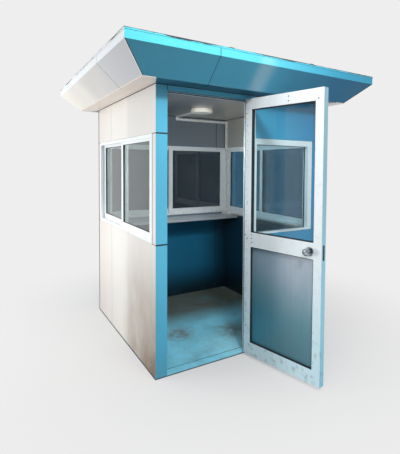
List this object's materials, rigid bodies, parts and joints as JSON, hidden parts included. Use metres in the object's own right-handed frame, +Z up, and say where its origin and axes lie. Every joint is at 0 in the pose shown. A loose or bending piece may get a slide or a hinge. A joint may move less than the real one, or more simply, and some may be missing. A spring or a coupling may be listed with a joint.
{
  "type": "security guard booth",
  "caption": "Square guard booth with panel walls, sliding windows, a glazed door standing open and a roof with flared eaves.",
  "frame": {"origin": "centre of the booth's base, on the ground", "axes": "+Z up, +X to the right along the front, +Y from the front to the back"},
  "size_m": [2.332, 2.7418, 2.443],
  "materials": {
    "blue_cladding": "gloss",
    "silver_cladding": "satin",
    "white_aluminium": "satin",
    "clear_glass": "gloss",
    "floor_sheet": "satin",
    "desk_laminate": "satin",
    "white_plastic": "satin",
    "roof_steel": "satin",
    "rubber_seal": "matte",
    "chrome": "gloss",
    "steel_fittings": "satin"
  },
  "bodies": {
    "booth": {"floor_board": "floor_sheet", "door_sill": "white_aluminium", "post_front_left": "blue_cladding", "post_front_right": "blue_cladding", "post_back_left": "blue_cladding", "post_back_right": "blue_cladding", "door_mullion": "white_aluminium", "door_header": "white_aluminium", "door_stops": "white_aluminium", "door_strike_plate": "steel_fittings", "front_wall_lower": "blue_cladding", "front_wall_upper": "blue_cladding", "left_wall_lower": "silver_cladding", "left_wall_upper": "silver_cladding", "right_wall_lower": "silver_cladding", "right_wall_upper": "silver_cladding", "back_wall_lower": "blue_cladding", "back_wall_upper": "blue_cladding", "front_window_frame": "white_aluminium", "front_window_glass": "clear_glass", "left_window_frame": "white_aluminium", "left_window_sashes": "white_aluminium", "left_window_glass": "clear_glass", "right_window_frame": "white_aluminium", "right_window_sashes": "white_aluminium", "right_window_glass": "clear_glass", "back_window_frame": "white_aluminium", "back_window_sashes": "white_aluminium", "back_window_glass": "clear_glass", "ceiling_panel": "silver_cladding", "front_soffit": "blue_cladding", "right_soffit": "silver_cladding", "back_soffit": "blue_cladding", "left_soffit": "silver_cladding", "front_eaves": "blue_cladding", "right_eaves": "silver_cladding", "back_eaves": "blue_cladding", "left_eaves": "silver_cladding", "roof_sheet": "roof_steel", "desk_top": "desk_laminate", "ceiling_lamp": "white_plastic", "cable_trunking": "white_plastic", "socket_box": "white_plastic", "door_hinge_jamb_leaves": "steel_fittings"},
    "door": {"door_stiles": "white_aluminium", "door_rails": "white_aluminium", "door_glass": "clear_glass", "door_lower_panel": "silver_cladding", "door_gaskets": "rubber_seal", "door_latch_plate": "steel_fittings", "door_roses": "chrome", "door_hinge_door_leaves": "steel_fittings"},
    "knob": {"door_knobs": "chrome"}
  },
  "joints": [
    {"name": "door_hinge", "type": "hinge", "parent": "booth", "child": "door", "pos_m": [0.009, -0.839, 1.09], "axis": [0, 0, 1], "range_deg": [-102.4, 62.6]},
    {"name": "knob_turn", "type": "hinge", "parent": "door", "child": "knob", "pos_m": [0.11246, -1.47256, 0.99], "axis": [-0.9767, -0.2147, 0], "range_deg": [-45, 45], "stiffness_Nm_per_rad": 0.4}
  ]
}
